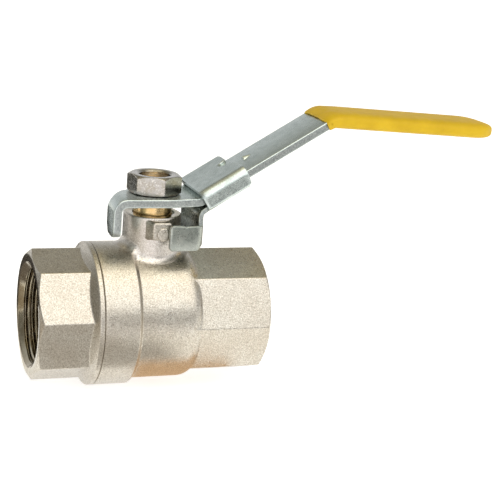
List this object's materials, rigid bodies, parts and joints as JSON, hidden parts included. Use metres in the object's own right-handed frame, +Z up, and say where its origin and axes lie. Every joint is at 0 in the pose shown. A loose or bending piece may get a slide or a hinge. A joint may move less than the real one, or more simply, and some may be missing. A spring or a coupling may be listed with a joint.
{
  "type": "ball valve",
  "caption": "Two-piece full-bore ball valve with octagonal threaded ends, a cranked steel lever with a yellow sleeve grip and a sliding lock hook.",
  "frame": {"origin": "centre of the ball, where the pipe axis and the stem axis cross", "axes": "+X along the pipe axis towards the outlet (the end under the lever), +Z up the stem, +Y away from the side with the hook"},
  "size_m": [0.1639, 0.048, 0.0947],
  "materials": {
    "blasted_nickel": "blasted and nickel plated",
    "polished_chrome": "polished",
    "brass": "turned",
    "zinc_plated_steel": "zinc plated",
    "plated_nut": "dark nickel plated",
    "white_ptfe": "satin",
    "black_rubber": "matte",
    "yellow_pvc": "satin dipped"
  },
  "bodies": {
    "housing": {"valve_body": "blasted_nickel", "end_connector": "blasted_nickel", "connector_o_ring": "black_rubber", "inlet_seat": "white_ptfe", "outlet_seat": "white_ptfe", "stem_thrust_washer": "white_ptfe"},
    "handle": {"lever": "zinc_plated_steel", "lever_nut": "plated_nut", "lever_grip": "yellow_pvc", "stem": "brass", "stem_o_ring_lower": "black_rubber", "stem_o_ring_upper": "black_rubber"},
    "ball": {"ball": "polished_chrome"},
    "lock_slide": {"lock_slide": "zinc_plated_steel"}
  },
  "joints": [
    {"name": "lever_turn", "type": "hinge", "parent": "housing", "child": "handle", "pos_m": [0, 0, 0], "axis": [0, 0, 1], "range_deg": [-90, 0]},
    {"name": "ball_turn", "type": "hinge", "parent": "housing", "child": "ball", "pos_m": [0, 0, 0], "axis": [0, 0, 1], "range_deg": [-90, 0]},
    {"name": "lock_slide_lift", "type": "slide", "parent": "handle", "child": "lock_slide", "axis": [0.8517, 0, 0.524], "range_m": [0, 0.007]}
  ],
  "couplings": [
    {"joint": "ball_turn", "follows": "lever_turn", "ratio": 1}
  ]
}
